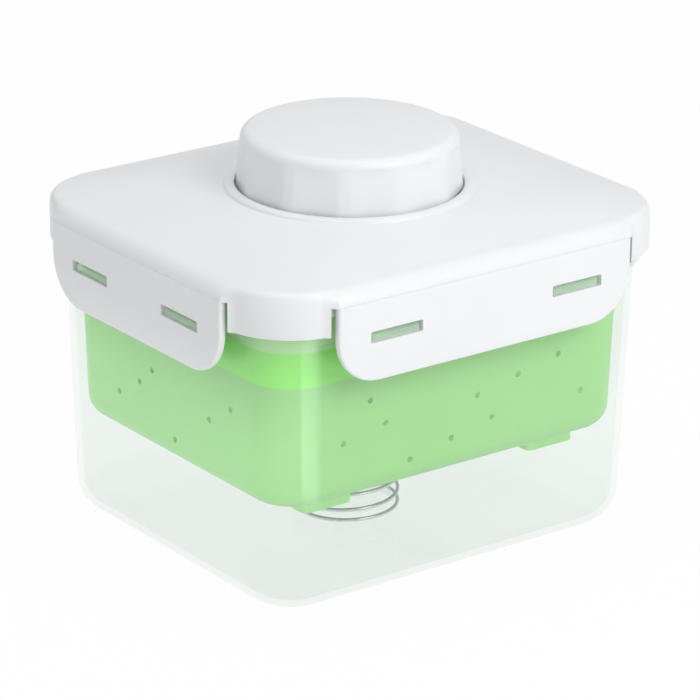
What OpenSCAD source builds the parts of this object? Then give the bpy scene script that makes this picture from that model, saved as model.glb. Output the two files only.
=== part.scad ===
// Tofu press: a clear container, a sprung strainer basket, a latched lid and a
// screw knob that drives a press plate down into the basket.
// Z is up. The origin is the middle of the container's underside.

/* [Container] */
// Outer length of the container at its floor
container_l = 140.4; // [125:0.2:170]
// Outer width of the container at its floor
container_w = 120; // [105:0.2:150]
// Height of the container, floor to rim
container_h = 100; // [92:0.5:125]
// How much each wall leans out over the whole height
container_draft = 2.5; // [1:0.1:4]
// Corner radius of the container in plan
container_corner_r = 18; // [14:0.5:24]
// Rounding between the floor and the walls
container_floor_r = 11; // [6:0.5:14]
// Thickness of the container's walls
container_wall = 2; // [1.5:0.1:2.6]
// Thickness of the container's floor
container_floor = 2; // [1.5:0.1:3]
// Height of the four low feet under the container
container_foot_h = 0.5; // [0.3:0.1:1.5]
// Height of the thick band round the rim
rim_band_h = 11.7; // [9:0.1:15]
// How far the rim band stands out of the wall
rim_band_t = 2.2; // [1.4:0.1:2.6]

/* [Basket] */
// Clearance between the basket and the container's wall, each side
basket_gap = 2.3; // [1.6:0.1:4]
// Height of the basket's floor over the container's floor
basket_lift = 30.5; // [24:0.5:36]
// Corner radius of the basket in plan
basket_corner_r = 15; // [10:0.5:20]
// Rounding between the basket's floor and walls
basket_floor_r = 6.5; // [4:0.5:9]
// Thickness of the basket's walls
basket_wall = 1.8; // [1.2:0.1:2.4]
// Thickness of the basket's floor
basket_floor = 2; // [1.5:0.1:3]
// Height of the four feet under the basket
basket_foot_h = 4.2; // [2:0.1:6]
// Diameter of the drain holes in the floor
floor_hole_d = 4; // [2:0.1:5]
// Diameter of the drain holes in the walls
wall_hole_d = 2; // [1.2:0.1:3]

/* [Spring] */
// Outer diameter of the spring
spring_od = 33.4; // [24:0.2:42]
// Diameter of the spring wire
spring_wire = 1.2; // [1:0.1:2]
// Rise of one turn in the middle of the spring
spring_pitch = 5.2; // [4:0.1:8]

/* [Lid] */
// How far the latch faces stand out from the rim band
latch_reach = 5.1; // [4.4:0.1:7]
// How far the lid's corners are set in behind the latch faces
corner_step = 2.6; // [1.5:0.1:3]
// Corner radius of the lid in plan
lid_corner_r = 24; // [20:0.5:30]
// Height of the lid's edge over the container's rim
lid_edge_h = 6; // [5:0.1:9]
// Rounding along the lid's top edge
lid_edge_r = 5.6; // [3:0.1:6]
// How much the lid rises from its edge to the knob
lid_crown = 3.8; // [2:0.1:6]
// Depth of the corner skirts below the lid's edge
skirt_h = 14.2; // [11:0.1:18]
// Thickness of the lid's top and skirts
lid_t = 2; // [1.6:0.1:2.4]
// Thickness of the silicone gasket when clamped
gasket_t = 2.6; // [2:0.1:3.5]

/* [Latches] */
// Distance from the lid's corner to each end of a latch on the long sides
latch_long_end = 25; // [22:0.2:35]
// Distance from the lid's corner to each end of a latch on the short sides
latch_short_end = 24.8; // [22:0.2:35]
// Height of a latch, hinge to lower edge
latch_h = 25; // [20:0.5:30]
// Thickness of a latch
latch_t = 2.2; // [1.6:0.1:3]
// Radius of a latch's lower corners
latch_corner_r = 15; // [6:0.5:18]
// Gap between a latch and the corner skirts
latch_gap = 1.7; // [0.8:0.1:3]
// Length of the two slots in a latch
slot_l = 19; // [12:0.5:24]
// Height of the slots
slot_h = 3.6; // [3:0.1:3.9]

/* [Knob] */
// Diameter of the knob at its base
knob_d = 70; // [56:0.5:76]
// Height of the knob
knob_h = 19.3; // [14:0.1:26]
// How much narrower the knob's top is than its base
knob_taper = 2.4; // [0:0.1:6]
// Rounding of the knob's top edge
knob_edge_r = 3; // [1:0.1:5]
// Number of grip scallops round the knob
scallop_count = 12; // [8:1:18]
// Depth of a grip scallop
scallop_depth = 0.8; // [0.3:0.1:1.5]
// Thickness of the knob's skin
knob_wall = 2.6; // [2:0.1:3.5]

/* [Press screw] */
// How far the hollow post, less its thread, is set in from the knob's edge
post_inset = 13.6; // [11:0.1:18]
// Thickness of the post's wall
post_wall = 2.8; // [2:0.1:4]
// Radial height of the screw thread
thread_h = 2.2; // [1.4:0.1:3]
// Rise of the thread in one full turn of the knob
thread_lead = 14; // [10:0.5:18]
// How far the press plate travels
press_travel = 28; // [20:1:30]

/* [Press plate] */
// Gap between the press plate's ends and the basket's walls
press_end_gap = 5.2; // [2:0.1:12]
// Gap between the press plate's long sides and the basket's walls
press_side_gap = 5; // [2:0.1:12]
// Height of the press plate with its cover
press_h = 25.5; // [18:0.5:28]
// Corner radius of the press plate
press_corner_r = 12; // [6:0.5:16]
// Rounding of its lower edge
press_edge_r = 5; // [2:0.5:8]
// Space left for pressed tofu with the screw right down
tofu_h = 9; // [6:0.5:14]
// Number of drain grooves under the press plate, each way from the middle
groove_count = 4; // [2:1:6]

/* [Fits] */
// Running clearance between pieces that move past each other
run_gap = 0.3; // [0.2:0.05:0.5]
// Clearance where one piece only has to drop over another
drop_gap = 0.4; // [0.3:0.05:0.8]

/* [Hidden] */

$fn = 64;
overlap = 0.2;          // pieces of one solid are sunk this far into each other
corner_steps = 9;       // facets in a quarter of a plan corner
fillet_steps = 5;       // facets in a quarter of a floor rounding

clear_plastic = [0.86, 0.93, 0.88, 0.35];
green_plastic = [0.55, 0.87, 0.50, 0.8];
white_plastic = [0.93, 0.94, 0.95];
silicone = [0.85, 0.88, 0.88];
steel = [0.75, 0.76, 0.78];

// Container levels and half sizes
floor_top_z = container_foot_h + container_floor;
container_foot_l = 16;
container_foot_w = 6;
rim_z = container_h;
band_z = rim_z - rim_band_h;
function container_hx(z) = container_l / 2 + container_draft * z / container_h;
function container_hy(z) = container_w / 2 + container_draft * z / container_h;
band_hx = container_hx(rim_z) + rim_band_t;
band_hy = container_hy(rim_z) + rim_band_t;
band_corner_r = container_corner_r + rim_band_t + 1.8;
band_outside = [band_hx, band_hy, band_corner_r];
rim_inside = [container_hx(rim_z) - container_wall, container_hy(rim_z) - container_wall,
              container_corner_r - container_wall];
rim_chamfer = 0.6;

// Basket levels and half sizes
basket_z = floor_top_z + basket_lift;
basket_floor_z = basket_z + basket_floor;
basket_rim_z = rim_z - 0.5;
basket_rim_t = 1.3;
basket_rim_h = 1.6;
function basket_hx(z) = container_hx(z) - container_wall - basket_gap;
function basket_hy(z) = container_hy(z) - container_wall - basket_gap;
foot_l = 18;
foot_w = 8;
foot_inset_x = 15;
foot_inset_y = 7.4;
hole_pitch = 13;

// Spring: stands on the container's floor round a boss, and carries the basket
spring_r = (spring_od - spring_wire) / 2;
spring_seat_r = spring_r - spring_wire / 2 - drop_gap;
spring_seat_h = 3;
spring_foot_z = floor_top_z;
spring_z0 = spring_foot_z + spring_wire / 2;
spring_z1 = basket_z - spring_wire / 2;
spring_end_rise = spring_wire + 0.8;
spring_mid_turns = (spring_z1 - spring_z0 - 2 * spring_end_rise) / spring_pitch;
spring_turns = spring_mid_turns + 2;
spring_start = 74;
spring_steps = 24;
wire_sides = 6;

// Lid
lid_hx = band_hx + latch_reach;
lid_hy = band_hy + latch_reach;
lid_edge_z = rim_z + lid_edge_h;
lid_top_z = lid_edge_z + lid_crown;
lid_under_z = rim_z + gasket_t;
lid_channel_d = 12;
skirt_z = lid_edge_z - skirt_h;
corner_a0 = 12;         // where the corner's arc starts and ends, in degrees
corner_a1 = 79;
edge_steps = 4;         // facets along half a latch face
crown_steps = 4;
lip_h = 1.2;
lip_w = 3.5;
recess_r = knob_d / 2 + 0.5;
lip_r = recess_r + lip_w;
recess_z = lid_top_z - 1.3;
recess_t = 2.4;
hub_wall = 3;
inner_rib_t = 1.4;
outer_rib_t = 1.2;
outer_rib_z = rim_z - 2.4;
gasket_step = 0.4;

// Latches
hinge_gap = 0.4;
hinge_z = lid_edge_z - lid_edge_r + 0.7;
latch_top_z = hinge_z - hinge_gap / 2;
latch_z = latch_top_z - latch_h;
latch_edge_r = 0.8;
slot_z = band_z - run_gap;
latch_long_w = 2 * (lid_hx - latch_long_end);
latch_short_w = 2 * (lid_hy - latch_short_end);
slot_inset = 21;
slot_long_x = latch_long_w / 2 - slot_inset;
slot_short_y = latch_short_w / 2 - slot_inset;
lug_l = slot_l - 2;
lug_reach = lid_hx - band_hx - 0.8;

// Post and knob
post_d = knob_d - 2 * post_inset;
thread_r = post_d / 2 + thread_h;
hub_bore_r = thread_r + drop_gap;
knob_z = recess_z + 1;
knob_top_z = knob_z + knob_h;
knob_dome = 0.8;
flange_t = 4;
flange_z = recess_z + 0.8;
boss_r = 3;
knob_screw_ring_r = hub_bore_r + 2.6;
flange_r = knob_screw_ring_r + 3.4;
screw_r = 1.4;
screw_head_r = 2.6;
screw_head_h = 1.6;
knob_screw_l = 10;

// Screw thread: half widths of a ridge along the axis, at its root and crest
thread_starts = 2;
thread_steps = 36;
thread_sink = 0.3;
thread_root_w = 1.9 * thread_lead / 14;
thread_crest_w = thread_root_w - 0.6;

// Press plate
press_z = basket_floor_z + tofu_h;
press_top_z = press_z + press_h;
press_l = 2 * (basket_hx(press_z) - basket_wall - press_end_gap);
press_w = 2 * (basket_hy(press_z) - basket_wall - press_side_gap);
press_wall = 2;
cover_t = 3;
post_foot_r = thread_r + 2.4;
post_foot_t = 2;
well_r = post_foot_r + 6.2;
well_wall = 2.4;
well_floor_t = 2.5;
well_depth = 4.5;
well_z = press_top_z - well_depth;
washer_t = 0.8;
post_foot_z = well_z + washer_t + 0.02;
ring_bore_r = thread_r + run_gap;
ring_r = well_r - drop_gap;
ring_lip_t = 1.5;
ring_lip_z = post_foot_z + post_foot_t + run_gap;
ring_top_z = ring_lip_z + ring_lip_t;
hub_z = ring_top_z + screw_head_h + press_travel + run_gap;
ring_screw_r = (post_foot_r + drop_gap + ring_r) / 2;
groove_w = 4;
groove_depth = 1.2;
groove_pitch = 12;

// ---- plan outlines and lofts ----

// Rounded rectangle with half sizes hx and hy, anticlockwise
function rounded_rect(hx, hy, r) = [
    for (q = [0:3], i = [0:corner_steps])
        let (a = 90 * (q + i / corner_steps),
             sx = (q == 0 || q == 3) ? 1 : -1,
             sy = q < 2 ? 1 : -1)
        [sx * (hx - r) + r * cos(a), sy * (hy - r) + r * sin(a)]
];

function at_z(outline, z) = [for (p = outline) [p.x, p.y, z]];

function backwards(list) = [for (i = [len(list) - 1:-1:0]) list[i]];

// A skin through a list of rings, closed by flat caps or joined end to end
module loft(rings, joined = false) {
    n = len(rings[0]);
    count = len(rings);
    last = joined ? count - 1 : count - 2;
    sides = [
        for (k = [0:last], i = [0:n - 1])
            let (a = k * n + i,
                 b = k * n + (i + 1) % n,
                 c = ((k + 1) % count) * n + (i + 1) % n,
                 d = ((k + 1) % count) * n + i)
            each [[a, c, b], [a, d, c]]
    ];
    caps = joined ? [] : [
        [for (i = [0:n - 1]) i],
        [for (i = [n - 1:-1:0]) (count - 1) * n + i]
    ];
    polyhedron(points = [for (r = rings) each r], faces = concat(sides, caps));
}

// A straight rounded rectangle between two heights
module slab(hx, hy, r, z0, z1) {
    translate([0, 0, z0])
        linear_extrude(z1 - z0)
            polygon(rounded_rect(hx, hy, r));
}

// A straight ring between two rounded rectangles, each given as [hx, hy, r]
module slab_ring(outer, inner, z0, z1) {
    translate([0, 0, z0])
        linear_extrude(z1 - z0)
            difference() {
                polygon(rounded_rect(outer[0], outer[1], outer[2]));
                polygon(rounded_rect(inner[0], inner[1], inner[2]));
            }
}

// A rounded rectangle [hx, hy, r] grown by d on every side
function grown(rect, d) = [rect[0] + d, rect[1] + d, rect[2] + d];

module ring(r_out, r_in, z0, z1) {
    translate([0, 0, z0])
        rotate_extrude()
            translate([r_in, 0])
                square([r_out - r_in, z1 - z0]);
}

module on_four_corners(x, y) {
    for (sx = [-1, 1], sy = [-1, 1])
        translate([sx * x, sy * y, 0])
            children();
}

// ---- container ----

module container_body() {
    inner_r = container_corner_r - container_wall;
    floor_in_r = container_floor_r - container_wall;
    loft(concat(
        [for (i = [0:fillet_steps])
            let (a = 90 * i / fillet_steps,
                 d = container_floor_r * (1 - sin(a)),
                 z = container_foot_h + container_floor_r * (1 - cos(a)))
            at_z(rounded_rect(container_hx(z) - d, container_hy(z) - d,
                              container_corner_r - d), z)],
        [at_z(rounded_rect(container_hx(band_z), container_hy(band_z), container_corner_r), band_z),
         at_z(rounded_rect(band_hx, band_hy, band_corner_r), band_z),
         at_z(rounded_rect(band_hx, band_hy, band_corner_r), rim_z - rim_chamfer),
         at_z(rounded_rect(band_hx - rim_chamfer, band_hy - rim_chamfer,
                           band_corner_r - rim_chamfer), rim_z),
         at_z(rounded_rect(container_hx(rim_z) - container_wall,
                           container_hy(rim_z) - container_wall, inner_r), rim_z)],
        [for (i = [0:fillet_steps])
            let (a = 90 - 90 * i / fillet_steps,
                 d = floor_in_r * (1 - sin(a)) + container_wall,
                 z = floor_top_z + floor_in_r * (1 - cos(a)))
            at_z(rounded_rect(container_hx(z) - d, container_hy(z) - d,
                              container_corner_r - d), z)]
    ));
}

// A ledge on the rim band that the lower edge of a latch slot hooks under
module lug() {
    tip = lug_reach;
    top = slot_h - 2 * run_gap;
    rotate([90, 0, 0])
        translate([0, 0, -lug_l / 2])
            linear_extrude(lug_l)
                polygon([[-1, 0], [tip, 0], [tip, top - 1.1], [tip - 1.8, top], [-1, top]]);
}

module lugs() {
    for (s = [-1, 1], side = [-1, 1]) {
        translate([side * band_hx, s * slot_short_y, band_z])
            rotate([0, 0, side > 0 ? 0 : 180])
                lug();
        translate([s * slot_long_x, side * band_hy, band_z])
            rotate([0, 0, side * 90])
                lug();
    }
}

// Low square-cornered feet inside the floor's rounding
module container_feet() {
    x = container_hx(0) - container_corner_r - container_foot_l / 2;
    y = container_hy(0) - container_floor_r - 2 - container_foot_w / 2;
    on_four_corners(x, y)
        translate([-container_foot_l / 2, -container_foot_w / 2, 0])
            cube([container_foot_l, container_foot_w, container_foot_h + overlap]);
}

module container() {
    color(clear_plastic)
        union() {
            container_body();
            lugs();
            container_feet();
            translate([0, 0, floor_top_z - overlap])
                cylinder(r = spring_seat_r, h = spring_seat_h + overlap);
        }
}

// ---- spring ----

// Height of the wire's centre after t turns: close end turns, open middle ones
function spring_height(t) =
    t < 1 ? spring_z0 + spring_end_rise * t :
    t < spring_turns - 1 ? spring_z0 + spring_end_rise + spring_pitch * (t - 1) :
    spring_z1 - spring_end_rise * (spring_turns - t);

function spring_point(t) = [
    spring_r * cos(spring_start + 360 * t),
    spring_r * sin(spring_start + 360 * t),
    spring_height(t)
];

spring_count = ceil(spring_turns * spring_steps);

// Centre line of the wire, with both ends straight for one wire diameter
function spring_path() =
    let (run = [for (k = [0:spring_count]) spring_point(spring_turns * k / spring_count)],
         n = len(run),
         first = run[0] - spring_wire * unit(run[1] - run[0]),
         final = run[n - 1] + spring_wire * unit(run[n - 1] - run[n - 2]))
    concat([[first.x, first.y, run[0].z]], run, [[final.x, final.y, run[n - 1].z]]);

function unit(v) = v / norm(v);

// A tube of n sides along a path that climbs about Z
module wire_tube(path, r, n) {
    last = len(path) - 1;
    loft([
        for (k = [0:last])
            let (t = unit(path[min(k + 1, last)] - path[max(k - 1, 0)]),
                 side = unit(cross([0, 0, 1], t)),
                 up = cross(t, side))
            [for (i = [0:n - 1])
                path[k] + r * (cos(360 * i / n) * side + sin(360 * i / n) * up)]
    ]);
}

// Least gap between turns, measured on the path's own points
module print_spring_gap(path) {
    far = floor(spring_steps / 2);
    gaps = [
        for (i = [0:len(path) - 1 - far], j = [i + far:len(path) - 1])
            norm(path[i] - path[j]) - spring_wire
    ];
    echo(spring_least_gap_mm = min(gaps));
}

module spring() {
    path = spring_path();
    print_spring_gap(path);
    color(steel)
        wire_tube(path, spring_wire / 2, wire_sides);
}

// ---- basket ----

module basket_shell() {
    in_r = basket_corner_r - basket_wall;
    floor_in_r = basket_floor_r - basket_wall;
    flange_z0 = basket_rim_z - basket_rim_h;
    loft(concat(
        [for (i = [0:fillet_steps])
            let (a = 90 * i / fillet_steps,
                 d = basket_floor_r * (1 - sin(a)),
                 z = basket_z + basket_floor_r * (1 - cos(a)))
            at_z(rounded_rect(basket_hx(z) - d, basket_hy(z) - d, basket_corner_r - d), z)],
        [for (lip = [0, basket_rim_t])
            at_z(rounded_rect(basket_hx(flange_z0) + lip, basket_hy(flange_z0) + lip,
                              basket_corner_r + lip), flange_z0 + lip * 0.4)],
        [at_z(rounded_rect(basket_hx(flange_z0) + basket_rim_t, basket_hy(flange_z0) + basket_rim_t,
                           basket_corner_r + basket_rim_t), basket_rim_z),
         at_z(rounded_rect(basket_hx(basket_rim_z) - basket_wall,
                           basket_hy(basket_rim_z) - basket_wall, in_r), basket_rim_z)],
        [for (i = [0:fillet_steps])
            let (a = 90 - 90 * i / fillet_steps,
                 d = floor_in_r * (1 - sin(a)) + basket_wall,
                 z = basket_floor_z + floor_in_r * (1 - cos(a)))
            at_z(rounded_rect(basket_hx(z) - d, basket_hy(z) - d, basket_corner_r - d), z)]
    ));
}

// Drain holes in staggered rows over the flat of the floor, clear of spring seat and feet
module floor_holes() {
    reach_x = basket_hx(basket_z) - basket_floor_r - floor_hole_d;
    reach_y = basket_hy(basket_z) - basket_floor_r - floor_hole_d;
    nx = floor(reach_x / hole_pitch);
    ny = floor(reach_y / hole_pitch);
    clear_r = spring_r + floor_hole_d / 2 + 2;
    foot_x = basket_hx(basket_z) - foot_inset_x - foot_l / 2;
    foot_y = basket_hy(basket_z) - foot_inset_y - foot_w / 2;
    for (i = [-nx:nx], j = [-ny:ny]) {
        x = i * hole_pitch;
        y = j * hole_pitch;
        on_foot = abs(abs(x) - foot_x) < (foot_l + floor_hole_d) / 2 + 0.5
            && abs(abs(y) - foot_y) < (foot_w + floor_hole_d) / 2 + 0.5;
        if (norm([x, y]) > clear_r && !on_foot)
            translate([x, y, basket_z - 1])
                cylinder(d = floor_hole_d, h = basket_floor + 2, $fn = 24);
    }
}

// Small drain holes scattered over a wall by a steady golden-section step
function scatter(i, step) = i * step - floor(i * step);

module wall_holes() {
    rows_z = basket_z + basket_floor_r + 1;
    rows_h = 26;
    for (side = [-1, 1], i = [1:10])
        translate([(scatter(i, 0.618) - 0.5) * 1.6 * basket_hx(basket_z),
                   side * (basket_hy(basket_z) + 1),
                   rows_z + rows_h * scatter(i, 0.291)])
            rotate([90, 0, 0])
                cylinder(d = wall_hole_d, h = 8, center = true, $fn = 16);
    for (side = [-1, 1], i = [1:6])
        translate([side * (basket_hx(basket_z) + 1),
                   (scatter(i, 0.618) - 0.5) * 1.4 * basket_hy(basket_z),
                   rows_z + rows_h * scatter(i, 0.755)])
            rotate([0, 90, 0])
                cylinder(d = wall_hole_d, h = 8, center = true, $fn = 16);
}

module basket() {
    color(green_plastic)
        union() {
            difference() {
                basket_shell();
                floor_holes();
                wall_holes();
            }
            on_four_corners(basket_hx(basket_z) - foot_inset_x - foot_l / 2,
                            basket_hy(basket_z) - foot_inset_y - foot_w / 2)
                slab(foot_l / 2, foot_w / 2, 2, basket_z - basket_foot_h, basket_z + overlap);
            translate([0, 0, basket_z - spring_seat_h + 0.5])
                difference() {
                    cylinder(r = spring_seat_r, h = spring_seat_h - 0.5 + overlap);
                    translate([0, 0, -1])
                        cylinder(r = spring_seat_r - 1.6, h = spring_seat_h + 0.5);
                }
        }
}

// ---- lid ----

// A quarter of the lid's outline, set in by d: latch face, corner, latch face.
// At blend 0 the corner is set in behind the latch faces, at 1 it is flush with them.
function lid_quarter(d, blend) =
    let (cx = lid_hx - corner_step - lid_corner_r,
         cy = lid_hy - corner_step - lid_corner_r,
         r = lid_corner_r - d + corner_step * blend)
    concat(
        [for (i = [0.5:edge_steps])
            [lid_hx - d, latch_short_w / 2 * i / (edge_steps - 0.5)]],
        [for (i = [0:corner_steps])
            let (a = corner_a0 + (corner_a1 - corner_a0) * i / corner_steps)
            [cx + r * cos(a), cy + r * sin(a)]],
        [for (i = [edge_steps - 0.5:-1:0])
            [latch_long_w / 2 * i / (edge_steps - 0.5), lid_hy - d]]
    );

function lid_outline(d, blend = 0) =
    let (q = lid_quarter(d, blend))
    concat(
        q,
        [for (p = backwards(q)) [-p.x, p.y]],
        [for (p = q) [-p.x, -p.y]],
        [for (p = backwards(q)) [p.x, -p.y]]
    );

// The outline drawn in towards the round lip: t is 0 at the edge and 1 at the lip
function crown_ring(d, t, z0, z1) = [
    for (p = lid_outline(d, 1))
        let (flat = unit(p) * lip_r,
             xy = (1 - t) * p + t * flat)
        [xy.x, xy.y, z0 + (z1 - z0) * (1 - pow(1 - t, 2))]
];

module lid_shell() {
    edge_z = lid_edge_z - lid_edge_r;
    under_edge_z = lid_edge_z - lid_t;
    under_top_z = lid_top_z - lid_t;
    loft(concat(
        [at_z(lid_outline(0), skirt_z)],
        [for (i = [0:fillet_steps])
            let (a = 90 * i / fillet_steps)
            at_z(lid_outline(lid_edge_r * (1 - cos(a)), i / fillet_steps),
                 edge_z + lid_edge_r * sin(a))],
        [for (i = [1:crown_steps])
            crown_ring(lid_edge_r, i / crown_steps, lid_edge_z, lid_top_z)],
        [for (i = [crown_steps:-1:0])
            crown_ring(lid_channel_d, i / crown_steps, under_edge_z, under_top_z)],
        [at_z(lid_outline(lid_channel_d - 0.6, 1), lid_under_z),
         at_z(lid_outline(lid_t), lid_under_z),
         at_z(lid_outline(lid_t), skirt_z)]
    ), joined = true);
}

// Room behind and beside a latch, cut out of the skirt
module latch_room(half_w, face) {
    depth = corner_step + lid_t + 0.6;
    translate([face - depth, -half_w - latch_gap, skirt_z - 1])
        cube([depth + 1, 2 * (half_w + latch_gap), hinge_z + hinge_gap / 2 - skirt_z + 1]);
}

// The lip round the knob, the recess it turns in and the hub below
module lid_hub() {
    top = lid_top_z + lip_h;
    soft = 1;
    rotate_extrude()
        polygon([
            [hub_bore_r, hub_z],
            [hub_bore_r + hub_wall, hub_z],
            [hub_bore_r + hub_wall, recess_z - recess_t],
            [lip_r + 0.6, recess_z - recess_t],
            [lip_r + 0.6, lid_top_z - overlap],
            [lip_r - soft / 3, top - soft],
            [lip_r - soft, top - soft / 3],
            [lip_r - 1.5 * soft, top],
            [recess_r + 0.5 * soft, top],
            [recess_r, top - soft / 2],
            [recess_r, recess_z],
            [hub_bore_r, recess_z]
        ]);
}

// The gasket lies between two ribs under the lid
gasket_inside = grown(rim_inside, -gasket_step);
gasket_outside = grown(band_outside, gasket_step / 4);

module lid_ribs() {
    slab_ring(grown(gasket_inside, -run_gap), grown(gasket_inside, -run_gap - inner_rib_t),
              basket_rim_z + run_gap, lid_under_z + overlap);
    slab_ring(grown(band_outside, drop_gap + outer_rib_t), grown(band_outside, drop_gap),
              outer_rib_z, lid_under_z + overlap);
}

module lid() {
    color(white_plastic)
        union() {
            difference() {
                lid_shell();
                for (turn = [0, 180]) {
                    rotate([0, 0, turn])
                        latch_room(latch_short_w / 2, lid_hx);
                    rotate([0, 0, turn + 90])
                        latch_room(latch_long_w / 2, lid_hy);
                }
            }
            lid_hub();
            lid_ribs();
            thread(hub_bore_r + thread_sink, post_d / 2 + run_gap, hub_z, recess_z, 0.5);
        }
}

module lid_gasket() {
    color(silicone)
        slab_ring(gasket_outside, gasket_inside, rim_z, lid_under_z);
}

// ---- latches ----

// Outline of a latch in its own plane, set in by d except along the hinge
function latch_outline(half_w, d) =
    let (r = latch_corner_r - d,
         x = half_w - latch_corner_r,
         z = latch_z + latch_corner_r)
    concat(
        [[half_w - d, latch_top_z], [-half_w + d, latch_top_z]],
        [for (i = [0:corner_steps])
            let (a = 180 + 90 * i / corner_steps)
            [-x + r * cos(a), z + r * sin(a)]],
        [for (i = [0:corner_steps])
            let (a = 270 + 90 * i / corner_steps)
            [x + r * cos(a), z + r * sin(a)]]
    );

// A latch on the +X side, with its outer face at x = face
module latch(half_w, face, slot_y) {
    soft = latch_edge_r;
    difference() {
        loft([
            for (p = [[latch_t, 0.3], [latch_t - 0.3, 0], [soft, 0], [0.3 * soft, 0.3 * soft], [0, soft]])
                [for (q = latch_outline(half_w, p[1])) [face - p[0], q.x, q.y]]
        ]);
        for (s = [-1, 1])
            translate([face - latch_t - 1, s * slot_y - slot_l / 2, slot_z])
                cube([latch_t + 2, slot_l, slot_h]);
    }
}

module latch_right() {
    color(white_plastic)
        latch(latch_short_w / 2, lid_hx, slot_short_y);
}

module latch_left() {
    color(white_plastic)
        rotate([0, 0, 180])
            latch(latch_short_w / 2, lid_hx, slot_short_y);
}

module latch_back() {
    color(white_plastic)
        rotate([0, 0, 90])
            latch(latch_long_w / 2, lid_hy, slot_long_x);
}

module latch_front() {
    color(white_plastic)
        rotate([0, 0, 270])
            latch(latch_long_w / 2, lid_hy, slot_long_x);
}

// ---- knob and post ----

module knob_skin() {
    base_r = knob_d / 2;
    top_r = base_r - knob_taper / 2;
    edge_z = knob_top_z - knob_dome - knob_edge_r;
    under_z = knob_top_z - knob_dome - knob_wall;
    rotate_extrude()
        polygon(concat(
            [[base_r - knob_wall, knob_z], [base_r, knob_z]],
            [for (a = [0:15:90])
                [top_r - knob_edge_r + knob_edge_r * cos(a), edge_z + knob_edge_r * sin(a)]],
            [for (k = [1:4])
                let (t = k / 4)
                [(top_r - knob_edge_r) * (1 - t), knob_top_z - knob_dome * pow(1 - t, 2)]],
            [[0, under_z], [top_r - knob_wall, under_z]]
        ));
}

module scallops() {
    cut_r = 14;
    for (k = [0:scallop_count - 1])
        rotate([0, 0, 360 * (k + 0.2) / scallop_count])
            translate([knob_d / 2 - scallop_depth + cut_r, 0, knob_z - 1])
                cylinder(r = cut_r, h = knob_h - knob_edge_r - 1);
}

module at_knob_screws() {
    for (k = [0:2])
        rotate([0, 0, 120 * k + 90])
            translate([knob_screw_ring_r, 0, 0])
                children();
}

module knob_cap() {
    boss_z = flange_z + flange_t;
    color(white_plastic)
        difference() {
            union() {
                difference() {
                    knob_skin();
                    scallops();
                }
                at_knob_screws()
                    translate([0, 0, boss_z])
                        cylinder(r = boss_r, h = knob_top_z - knob_dome - knob_wall - boss_z + overlap);
            }
            at_knob_screws()
                translate([0, 0, boss_z - 1])
                    cylinder(r = screw_r + 0.05, h = knob_screw_l);
        }
}

// A screw ridge from z0 to z1 that runs out at both ends; root and crest are radii
module thread_ridge(root, crest, z0, z1, start) {
    low = z0 + thread_root_w;
    high = z1 - thread_root_w;
    turns = (high - low) / thread_lead;
    count = ceil(turns * thread_steps);
    run_out = thread_steps / 8;
    loft([
        for (k = [0:count])
            let (t = k / count,
                 a = start + 360 * turns * t,
                 z = low + (high - low) * t,
                 full = min(1, (k + 0.5) / run_out, (count - k + 0.5) / run_out),
                 top = root + (crest - root) * full,
                 section = [[root, -thread_root_w], [top, -thread_crest_w],
                            [top, thread_crest_w], [root, thread_root_w]])
            [for (p = crest > root ? backwards(section) : section)
                [p[0] * cos(a), p[0] * sin(a), z + p[1]]]
    ]);
}

// Every start of the thread; offset 0 is the post's ridge, 0.5 the groove between
module thread(root, crest, z0, z1, offset) {
    pitch = thread_lead / thread_starts;
    turned = 360 * (z0 + thread_root_w - hub_z + offset * pitch) / thread_lead;
    for (k = [0:thread_starts - 1])
        thread_ridge(root, crest, z0, z1, turned + 360 * k / thread_starts);
}

module knob_post() {
    color(white_plastic)
        union() {
            post_body();
            thread(post_d / 2 - thread_sink, thread_r, ring_top_z + run_gap,
                   flange_z - run_gap, 0);
        }
}

module post_body() {
    r = post_d / 2;
    bore = r - post_wall;
    difference() {
        rotate_extrude()
            polygon([
                [bore, post_foot_z],
                [post_foot_r, post_foot_z],
                [post_foot_r, post_foot_z + post_foot_t],
                [r, post_foot_z + post_foot_t],
                [r, flange_z],
                [flange_r, flange_z],
                [flange_r, flange_z + flange_t],
                [bore, flange_z + flange_t]
            ]);
        at_knob_screws() {
            translate([0, 0, flange_z - 1])
                cylinder(r = screw_head_r + 0.2, h = screw_head_h + 1.3);
            translate([0, 0, flange_z - 1])
                cylinder(r = screw_r + 0.05, h = flange_t + 2);
        }
    }
}

// A pan-head screw standing on its head, with a cross recess below
module screw(length) {
    difference() {
        union() {
            cylinder(r = screw_head_r, h = screw_head_h);
            translate([0, 0, screw_head_h - overlap])
                cylinder(r = screw_r, h = length + overlap);
        }
        for (turn = [0, 90])
            rotate([0, 0, turn])
                translate([-1.3, -0.3, -1])
                    cube([2.6, 0.6, 1.8]);
    }
}

module knob_screws() {
    color(steel)
        at_knob_screws()
            translate([0, 0, flange_z + 0.3])
                screw(knob_screw_l - 0.4);
}

// ---- swivel and press plate ----

module at_ring_screws() {
    for (k = [0:3])
        rotate([0, 0, 90 * k + 45])
            translate([ring_screw_r, 0, 0])
                children();
}

// Holds the post's foot down on the press cover, and lets it turn
module swivel_ring() {
    color(white_plastic)
        difference() {
            rotate_extrude()
                polygon([
                    [post_foot_r + run_gap, well_z],
                    [ring_r, well_z],
                    [ring_r, ring_top_z - 0.5],
                    [ring_r - 0.5, ring_top_z],
                    [ring_bore_r, ring_top_z],
                    [ring_bore_r, ring_lip_z],
                    [post_foot_r + run_gap, ring_lip_z]
                ]);
            at_ring_screws()
                translate([0, 0, well_z - 1])
                    cylinder(r = screw_r + 0.05, h = 9);
        }
}

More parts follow.
